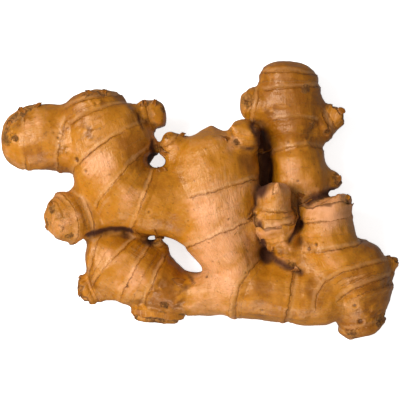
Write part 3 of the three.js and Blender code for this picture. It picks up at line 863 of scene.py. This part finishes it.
# Each is its finger, the row that it starts at, its length, how far it flares, how deeply its edge is torn,
# and the angle of its longest point, in degrees from the finger's right side towards its top.
SHEATHS = [
    ("right", 4.95, 8.5, 0.5, 0.4, 60),
    ("front_bud", 2.4, 5.2, 0.35, 0.45, 178),
    ("finger_bud_right", 1.4, 5.5, 0.3, 0.6, 60),
    ("lower_stub", 1.0, 4.6, 0.4, 0.6, 100),
    ("right_point", 1.1, 4.5, 0.2, 0.5, 90),
    ("broken_stub", 0.7, 4.0, 0.3, 0.6, 90),
]
SHEATH_COLUMNS = 56
SHEATH_ROWS = 7
SHEATH_THICKNESS = 0.3
SHEATH_ROOT_DEPTH = 0.35
SHEATH_STATIONS = 24
SHEATH_SEED_STEP = 3.7
CAP_ROUNDNESS = 5.0
CAP_LEAST = 0.2
# How closely tears and small teeth follow along an edge, how deep the teeth are against the tears, and how
# much the edge is shortened by its tears and away from its point.
TEARS, TEETH, TOOTH_DEPTH = 2.3, 7.0, 0.3
SHORTER_BY_TEARS, SHORTER_BEHIND = 0.7, 0.6

# The skin with its relief, for thin pieces to lie on.
skin_tree = BVHTree.FromPolygons(
    [Vector(p) for p in points * MM], [p.vertices[:] for p in skin.data.polygons])
nearest_point = KDTree(len(points))
for number, point in enumerate(points * MM):
    nearest_point.insert(point, number)
nearest_point.balance()


def as_piece(name, form):
    mesh = bpy.data.meshes.new(name)
    form.to_mesh(mesh)
    form.free()
    mesh.polygons.foreach_set("use_smooth", [True] * len(mesh.polygons))
    piece = bpy.data.objects.new(name, mesh)
    bpy.context.scene.collection.objects.link(piece)
    return piece


def joined(forms):
    """Several forms as one."""
    whole = bmesh.new()
    whole.verts.layers.float.new("torn_edge")
    whole.verts.layers.float.new("tone_and_painted_light")
    whole.verts.layers.float_vector.new("fibre")
    for form in forms:
        part = bpy.data.meshes.new("part")
        form.to_mesh(part)
        form.free()
        whole.from_mesh(part)
        bpy.data.meshes.remove(part)
    return whole


def sheath(finger, start, length, flare, torn, point_angle, seed):
    """A torn tube round a finger, open at its far edge."""
    form = bmesh.new()
    edge = form.verts.layers.float.new("torn_edge")
    shade = form.verts.layers.float.new("tone_and_painted_light")
    grain = form.verts.layers.float_vector.new("fibre")
    bmesh.ops.create_grid(form, x_segments=SHEATH_COLUMNS, y_segments=SHEATH_ROWS, size=0.5)
    rows = FINGERS[finger]
    places = np.linspace(start, len(rows) - 1, SHEATH_STATIONS)
    centre, along, girth = run_of(rows, places)
    lengths = np.r_[0, np.cumsum(np.linalg.norm(np.diff(centre, axis=0), axis=1))]
    for vertex in form.verts:
        turn = (vertex.co.x + 0.5) * 2 * math.pi
        share = vertex.co.y + 0.5
        ring = Vector((math.cos(turn), math.sin(turn), 0))
        tear = 0.5 + 0.5 * noise.noise(ring * TEARS + Vector((seed, 0, 0)))
        tear += TOOTH_DEPTH * noise.noise(ring * TEETH + Vector((0, seed, 0)))
        pointed = 0.5 + 0.5 * math.cos(turn - math.radians(point_angle))
        shorter = SHORTER_BEHIND * (1 - pointed) + SHORTER_BY_TEARS * (1 - tear)
        reach = length * share * (1 - torn * shorter)
        sample = min(int(np.searchsorted(lengths, reach)), len(places) - 1)
        beyond = max(0.0, reach - lengths[-1])
        narrowing = math.sqrt(max(CAP_LEAST, 1 - (beyond / CAP_ROUNDNESS)**2))
        across, top = axes_of(along[sample])
        around = narrowing * (across * ring.x * girth[sample, 0] + top * ring.y * girth[sample, 1])
        ahead = along[sample] * (reach - lengths[sample])
        near = Vector((centre[sample] + around + ahead) * MM)
        on_skin, normal, _, _ = skin_tree.find_nearest(near)
        rise = SHEATH_ROOT_DEPTH * (2 * share**0.5 - 1) + flare * share**2
        vertex.co = on_skin + normal * rise * MM
        vertex[edge] = share
        vertex[shade] = tone_and_painted_light[nearest_point.find(on_skin)[1]]
        vertex[grain] = (turn * girth[sample, 0], 0, reach)
    bmesh.ops.remove_doubles(form, verts=form.verts, dist=0.02 * MM)
    bmesh.ops.recalc_face_normals(form, faces=form.faces)
    return form


sheaths = as_piece("torn_sheaths", joined(
    [sheath(*row, SHEATH_SEED_STEP * number) for number, row in enumerate(SHEATHS)]))
sheaths.data = modified(sheaths, "SOLIDIFY", thickness=SHEATH_THICKNESS * MM, offset=0)

papery = Finish("papery_sheath")
place = papery.place()
worn = papery.noise(place, 210, 4, 0.6)
ribs = papery.noise(papery.stretched(papery.attribute("fibre", "Vector"), (1.0, 1.0, 0.12)), 1.7, 3, 0.6)
torn_edge = papery.attribute("torn_edge")
# The paleness takes in the painted highlights and painted shade of the skin below.
paleness = papery.attribute("tone_and_painted_light") + (worn - 0.5) * 1.4 + (papery.noise(place, 60, 3, 0.5) - 0.5)
colour = papery.blend(papery.between(paleness, 0.0, 0.5), OCHRE_AND_PAINTED_SHADE, TAN)
colour = papery.blend(papery.between(paleness, 0.4, 1.1), colour, PEACH_AND_PAINTED_HIGHLIGHT)
colour = papery.blend(papery.between(ribs, 0.5, 0.75) * 0.45, colour, FIBRE_PALE)
colour = papery.blend(papery.between(torn_edge + (worn - 0.5) * 0.5, 0.86, 1.0) * 0.75, colour, CORK_BROWN)
papery.set(Base_Color=colour, Roughness=worn * 0.2 + 0.42, Normal=papery.bump(ribs * 0.5 + worn, 0.25 * MM))
papery.shader.inputs["Specular IOR Level"].default_value = 0.3
sheaths.data.materials.append(papery.material)
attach(sheaths, "root")


# Dry scale leaves: thin brown flaps that still hang on at the rings and in the forks, fixed by their broad
# base, hugging the skin and curling up at the tip.

# Each is x, y, heading in degrees, length, width, and how far its tip curls up, in millimetres.
LEAVES = [
    (-22.9, 38.8, 100, 4.5, 3.4, 0.9), (-19.6, 39.4, 60, 3.4, 2.6, 0.9),
    (-8.2, 26.8, 60, 3.4, 2.2, 0.8), (-13.4, 17.6, 139, 6.0, 4.6, 0.7), (-15.6, 11.2, 105, 5.0, 5.4, 0.3),
    (-5.6, -35.0, 160, 6.5, 5.5, 0.1), (22.6, -6.6, 195, 4.6, 4.6, 0.9), (29.4, -18.6, 230, 4.5, 4.0, 0.7),
    (38.8, -28.2, 330, 3.6, 3.2, 0.7), (12.6, 24.6, 150, 3.6, 3.0, 0.5),
    (57.5, 36.2, 40, 4.0, 3.4, 0.6), (57.6, 8.8, 20, 3.6, 3.2, 0.6),
    (-79.5, 30.5, 140, 4.5, 4.0, 0.4), (-74.5, 36.4, 110, 5.0, 3.6, 0.5), (-69.5, 38.6, 70, 4.5, 3.4, 0.5),
    (-45.5, 43.6, 110, 5.5, 3.6, 0.4), (-40.5, 44.4, 60, 4.0, 3.2, 0.5),
    (-50.4, -37.5, 200, 4.0, 3.6, 0.5), (-27.0, -46.6, 250, 3.4, 3.4, 0.5),
    (-17.5, -17.0, 70, 3.4, 3.0, 0.7), (43.6, 0.6, 140, 3.6, 3.0, 0.9),
    (27.6, 21.0, 200, 4.5, 2.4, 1.0), (61.0, 0.4, 50, 3.0, 2.6, 0.6),
    (-62.0, -3.0, 130, 3.4, 3.0, 0.3), (-63.5, -11.0, 210, 3.4, 3.0, 0.3),
]
LEAF_COLUMNS = 7
LEAF_ROWS = 9
LEAF_THICKNESS = 0.25
LEAF_BASE_DEPTH = 0.5
LEAF_DEEPER = 0.55
LEAF_SEED_STEP = 5.3
# How high a leaf lies off the skin, how sharply it curls towards its tip, and how much its sides rise, its
# tip narrows, its corners are rounded and its edge is ragged.
LEAF_LIFT, LEAF_CURLING, LEAF_SIDE_CURL = 0.15, 2.2, 0.5
LEAF_NARROWING, LEAF_ROUNDING, LEAF_RAGGEDNESS = 0.55, 1.4, 0.3
LEAF_NOTCHES, LEAF_TEETH, LEAF_TOOTH_DEPTH = 5, 13, 0.6


def scale_leaf(x, y, heading, length, width, curl, seed):
    form = bmesh.new()
    edge = form.verts.layers.float.new("torn_edge")
    shade = form.verts.layers.float.new("tone_and_painted_light")
    grain = form.verts.layers.float_vector.new("fibre")
    bmesh.ops.create_grid(form, x_segments=LEAF_COLUMNS, y_segments=LEAF_ROWS, size=0.5)
    base = Vector(from_above(x, y))
    direction = Vector((math.cos(math.radians(heading)), math.sin(math.radians(heading)), 0))
    normal = skin_tree.find_nearest(base * MM)[1]
    forward = (direction - normal * direction.dot(normal)).normalized()
    side = normal.cross(forward)
    for vertex in form.verts:
        share = vertex.co.y + 0.5
        across = vertex.co.x
        ragged = (noise.noise(Vector((across * LEAF_NOTCHES, seed, 0)))
                  + LEAF_TOOTH_DEPTH * noise.noise(Vector((across * LEAF_TEETH, 0, seed))))
        reach = length * share * (1 - LEAF_ROUNDING * across * across + LEAF_RAGGEDNESS * ragged)
        spread_out = width * across * (1 - LEAF_NARROWING * share * share)
        on_skin, skin_normal, _, _ = skin_tree.find_nearest((base + forward * reach + side * spread_out) * MM)
        rise = (LEAF_LIFT + curl * share**LEAF_CURLING + LEAF_SIDE_CURL * curl * (2 * across)**2 * share
                - LEAF_BASE_DEPTH * (1 - share)**3)
        vertex.co = on_skin + skin_normal * rise * MM
        vertex[edge] = 0.5 + 0.5 * max(share, abs(2 * across) * 0.8)
        vertex[shade] = tone_and_painted_light[nearest_point.find(on_skin)[1]] - LEAF_DEEPER
        vertex[grain] = (spread_out, 0, reach)
    bmesh.ops.recalc_face_normals(form, faces=form.faces)
    return form


leaves = as_piece("dry_scale_leaves", joined(
    [scale_leaf(*row, LEAF_SEED_STEP * number) for number, row in enumerate(LEAVES)]))
leaves.data = modified(leaves, "SOLIDIFY", thickness=LEAF_THICKNESS * MM, offset=0)
leaves.data.materials.append(papery.material)
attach(leaves, "root")


# Root strands: a few thin dry rootlets in the forks, of the same dry stuff as the scale leaves. Each is a
# tapering stalk that grows out of the skin.

# Each is its points x, y seen from above, with how far it stands off the skin there, and half its thickness.
STRANDS = [
    ([(-27.5, -11.8, 0), (-26.3, -13.4, 0.8), (-24.9, -14.6, 1.6), (-24.0, -15.6, 1.2)], 0.32),
    ([(-26.6, -12.2, 0), (-26.8, -14.0, 1.2), (-26.2, -15.8, 1.8)], 0.26),
    ([(30.8, 21.6, 0), (28.8, 20.6, 1.4), (26.6, 20.3, 1.2), (25.2, 21.0, 0.4)], 0.36),
    ([(38.0, -29.6, 0), (39.6, -28.8, 1.0), (41.4, -29.0, 1.6)], 0.34),
    ([(41.0, 0.6, 0), (40.0, 2.2, 1.4), (38.4, 3.4, 1.2)], 0.3),
    ([(-18.6, -15.8, 0), (-18.0, -14.0, 1.0), (-18.8, -12.6, 1.0)], 0.3),
]
STRAND_TAPER = 0.7


def strand(stops, half_thickness):
    spots = [Vector(from_above(x, y)) * MM + Vector((0, 0, 1)) * off * MM for x, y, off in stops]
    curve = bpy.data.curves.new("strand", "CURVE")
    curve.dimensions = "3D"
    curve.bevel_depth = half_thickness * MM
    curve.bevel_resolution = 1
    curve.use_fill_caps = True
    spline = curve.splines.new("BEZIER")
    spline.bezier_points.add(len(spots) - 1)
    for number, (knot, spot) in enumerate(zip(spline.bezier_points, spots)):
        knot.co = spot
        knot.handle_left_type = knot.handle_right_type = "AUTO"
        knot.radius = 1 - STRAND_TAPER * number / len(spots)
    carrier = bpy.data.objects.new("strand", curve)
    bpy.context.scene.collection.objects.link(carrier)
    evaluated = carrier.evaluated_get(bpy.context.evaluated_depsgraph_get())
    form = bmesh.new()
    form.from_mesh(evaluated.to_mesh())
    bpy.data.objects.remove(carrier)
    return form


strands = as_piece("root_strands", joined([strand(*row) for row in STRANDS]))
strands.data.materials.append(papery.material)
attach(strands, "root")


# The table top that the root lies on, a plain pale surface much larger than the picture.
# It is lit a little from below, as a light table is, so that shadows on it stay pale.
TABLE_SIDE = 3.0
TABLE_GLOW = 0.7
form = bmesh.new()
bmesh.ops.create_grid(form, x_segments=1, y_segments=1, size=TABLE_SIDE / 2)
table = bpy.data.objects.new("pale_table", bpy.data.meshes.new("pale_table"))
form.to_mesh(table.data)
form.free()
bpy.context.scene.collection.objects.link(table)
pale = Finish("pale_table_top")
pale.set(Base_Color=(0.93, 0.93, 0.93), Roughness=0.9, Emission_Color=(1, 1, 1), Emission_Strength=TABLE_GLOW)
table.data.materials.append(pale.material)
# The white surface would light the root's flanks from below, so it sends no light back to them.
table.visible_diffuse = False
table.visible_glossy = False


# The light and the camera: a wide soft lamp high up at the left, weaker ones overhead and low in front, a
# little light from all round, and a camera that looks straight down from so far away that the sides of the
# root hardly show.
LAMPS = {
    "large_lamp_at_the_left": {"place": (-0.72, 0.16, 0.84), "side": 0.55, "power": 14.2},
    "fill_lamp_above": {"place": (0.05, 0.05, 1.3), "side": 0.5, "power": 2},
    "low_lamp_in_front": {"place": (-0.1, -0.95, 0.3), "side": 0.5, "power": 5},
}
ROOM_LIGHT = 0.27
CAMERA_HEIGHT = 1.2
PICTURE_WIDTH = 0.168
PICTURE_PLANE = 0.016
PICTURE_MIDDLE = (0.0003, 0.0003)
SENSOR_WIDTH = 36

for name, make in LAMPS.items():
    lamp = bpy.data.objects.new(name, bpy.data.lights.new(name, "AREA"))
    lamp.data.size = make["side"]
    lamp.data.energy = make["power"]
    lamp.location = make["place"]
    lamp.rotation_euler = (-Vector(make["place"])).to_track_quat("-Z", "Y").to_euler()
    bpy.context.scene.collection.objects.link(lamp)

world = bpy.data.worlds.new("bright_room")
world.use_nodes = True
world.node_tree.nodes["Background"].inputs["Color"].default_value = (1, 1, 1, 1)
world.node_tree.nodes["Background"].inputs["Strength"].default_value = ROOM_LIGHT
bpy.context.scene.world = world
bpy.context.scene.view_settings.view_transform = "Standard"

camera = bpy.data.objects.new("camera", bpy.data.cameras.new("camera"))
camera.location = (*PICTURE_MIDDLE, CAMERA_HEIGHT)
camera.data.sensor_width = SENSOR_WIDTH
camera.data.lens = SENSOR_WIDTH * (CAMERA_HEIGHT - PICTURE_PLANE) / PICTURE_WIDTH
bpy.context.scene.collection.objects.link(camera)
bpy.context.scene.camera = camera
